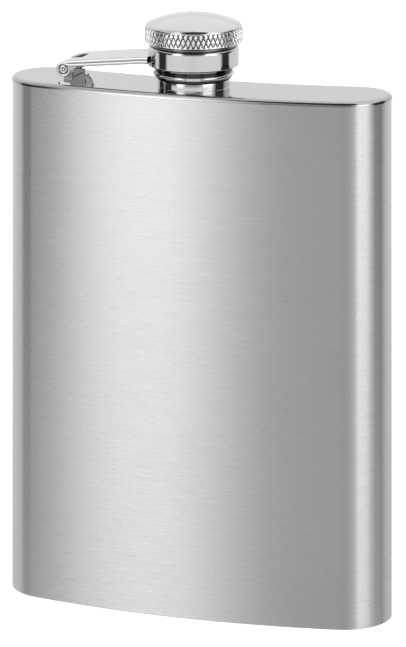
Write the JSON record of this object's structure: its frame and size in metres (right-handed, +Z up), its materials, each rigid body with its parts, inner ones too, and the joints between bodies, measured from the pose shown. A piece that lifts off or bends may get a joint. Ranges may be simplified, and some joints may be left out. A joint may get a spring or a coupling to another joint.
{
  "type": "hip flask",
  "caption": "Slim kidney-shaped metal hip flask with a knurled screw cap held by a hinged swing arm.",
  "frame": {"origin": "on the base plane, in the middle of the bounding box; the spout axis is about 1.07 mm in front of it", "axes": "+X along the width, away from the hinge; +Y towards the hollow back face; +Z up, from the base to the cap"},
  "size_m": [0.093, 0.025, 0.138],
  "materials": {
    "brushed_steel_body": "fine horizontal brushing",
    "polished_steel": "polished",
    "seal_rubber": "smooth silicone"
  },
  "bodies": {
    "flask": {"body_sleeve": "brushed_steel_body", "shoulder_plate": "polished_steel", "base_plate": "brushed_steel_body", "neck_spout": "polished_steel", "hinge_bracket": "polished_steel", "hinge_pin": "polished_steel"},
    "arm": {"swing_arm": "polished_steel", "swivel_collar": "polished_steel"},
    "cap": {"cap_head": "polished_steel", "cap_skirt": "polished_steel", "cap_gasket": "seal_rubber", "retaining_ring": "polished_steel", "slip_washer": "polished_steel"}
  },
  "joints": [
    {"name": "arm_swing", "type": "hinge", "parent": "flask", "child": "arm", "pos_m": [-0.03005, -0.00107, 0.1241], "axis": [0, -1, 0], "range_deg": [0, 165]},
    {"name": "cap_spin", "type": "hinge", "parent": "arm", "child": "cap", "pos_m": [0, -0.00107, 0.13], "axis": [0, 0, 1], "continuous": true}
  ]
}
